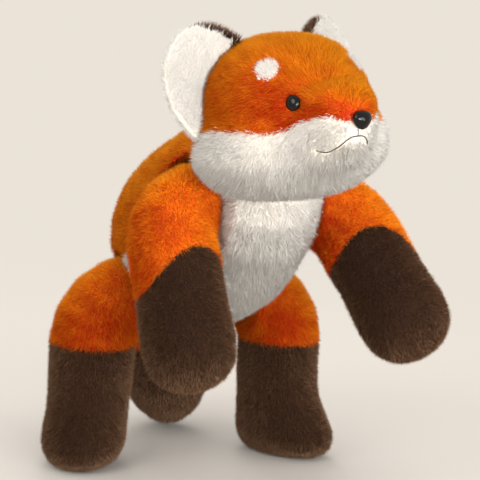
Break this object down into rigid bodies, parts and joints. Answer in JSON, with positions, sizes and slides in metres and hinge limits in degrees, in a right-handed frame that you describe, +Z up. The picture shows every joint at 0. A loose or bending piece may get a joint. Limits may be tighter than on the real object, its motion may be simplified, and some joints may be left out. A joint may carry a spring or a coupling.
{
  "type": "plush fox",
  "caption": "Plush fox standing on its hind paws, forelegs reaching forward, with a head, legs, tail and ears that move on their sewn seams.",
  "frame": {"origin": "centre of the bounding box, on the floor under the hind paws", "axes": "+Z up, the fox faces -Y and its left side is at +X"},
  "size_m": [0.3014, 0.4654, 0.4376],
  "materials": {
    "orange_fur": "long soft pile",
    "cream_fur": "long soft pile",
    "brown_fur": "long soft pile",
    "black_gloss": "polished",
    "dark_thread": "matte thread",
    "white_fibre": "loose fibre",
    "clear_plastic": "natural"
  },
  "bodies": {
    "torso": {"torso_back": "orange_fur", "torso_belly": "cream_fur", "torso_stuffing": "white_fibre"},
    "head": {"head_crown": "orange_fur", "head_cheeks": "cream_fur", "head_stuffing": "white_fibre", "brow_spot_right": "cream_fur", "brow_spot_left": "cream_fur", "eye_right": "black_gloss", "eye_left": "black_gloss", "eye_washer_right": "clear_plastic", "eye_washer_left": "clear_plastic", "nose": "black_gloss", "nose_washer": "clear_plastic", "mouth_stitch": "dark_thread", "lip_stitch": "dark_thread"},
    "ear_right": {"ear_front_right": "cream_fur", "ear_back_right": "brown_fur"},
    "ear_left": {"ear_front_left": "cream_fur", "ear_back_left": "brown_fur"},
    "foreleg_right": {"foreleg_sleeve_right": "orange_fur", "forepaw_right": "brown_fur", "foreleg_stuffing_right": "white_fibre"},
    "foreleg_left": {"foreleg_sleeve_left": "orange_fur", "forepaw_left": "brown_fur", "foreleg_stuffing_left": "white_fibre"},
    "hindleg_right": {"hindleg_sleeve_right": "orange_fur", "hindpaw_right": "brown_fur", "hindleg_stuffing_right": "white_fibre"},
    "hindleg_left": {"hindleg_sleeve_left": "orange_fur", "hindpaw_left": "brown_fur", "hindleg_stuffing_left": "white_fibre"},
    "tail": {"tail_base": "orange_fur", "tail_tip": "brown_fur", "tail_stuffing": "white_fibre"}
  },
  "joints": [
    {"name": "head_turn", "type": "hinge", "parent": "torso", "child": "head", "pos_m": [-0.01283, -0.09166, 0.3139], "axis": [0, -0.6691, 0.7431], "range_deg": [-40, 18], "stiffness_Nm_per_rad": 1.2},
    {"name": "ear_fold_right", "type": "hinge", "parent": "head", "child": "ear_right", "pos_m": [-0.07584, -0.12326, 0.37033], "axis": [0.3837, 0.1087, 0.917], "range_deg": [-11, 11], "stiffness_Nm_per_rad": 0.08},
    {"name": "ear_fold_left", "type": "hinge", "parent": "head", "child": "ear_left", "pos_m": [0.03887, -0.10096, 0.38261], "axis": [-0.5751, -0.0777, 0.8144], "range_deg": [-11, 11], "stiffness_Nm_per_rad": 0.08},
    {"name": "shoulder_right_swing", "type": "hinge", "parent": "torso", "child": "foreleg_right", "pos_m": [-0.04913, -0.05847, 0.268], "axis": [1, 0, 0], "range_deg": [-26, 26], "stiffness_Nm_per_rad": 2},
    {"name": "shoulder_left_swing", "type": "hinge", "parent": "torso", "child": "foreleg_left", "pos_m": [0.04747, -0.05847, 0.268], "axis": [1, 0, 0], "range_deg": [-12, 40], "stiffness_Nm_per_rad": 2},
    {"name": "hip_right_swing", "type": "hinge", "parent": "torso", "child": "hindleg_right", "pos_m": [-0.05713, 0.07753, 0.16], "axis": [1, 0, 0], "range_deg": [-26, 26], "stiffness_Nm_per_rad": 2},
    {"name": "hip_left_swing", "type": "hinge", "parent": "torso", "child": "hindleg_left", "pos_m": [0.05547, 0.07753, 0.16], "axis": [1, 0, 0], "range_deg": [-26, 26], "stiffness_Nm_per_rad": 2},
    {"name": "tail_lift", "type": "hinge", "parent": "torso", "child": "tail", "pos_m": [-0.00087, 0.158, 0.14749], "axis": [1, 0, 0], "range_deg": [-4, 28], "stiffness_Nm_per_rad": 0.8}
  ]
}
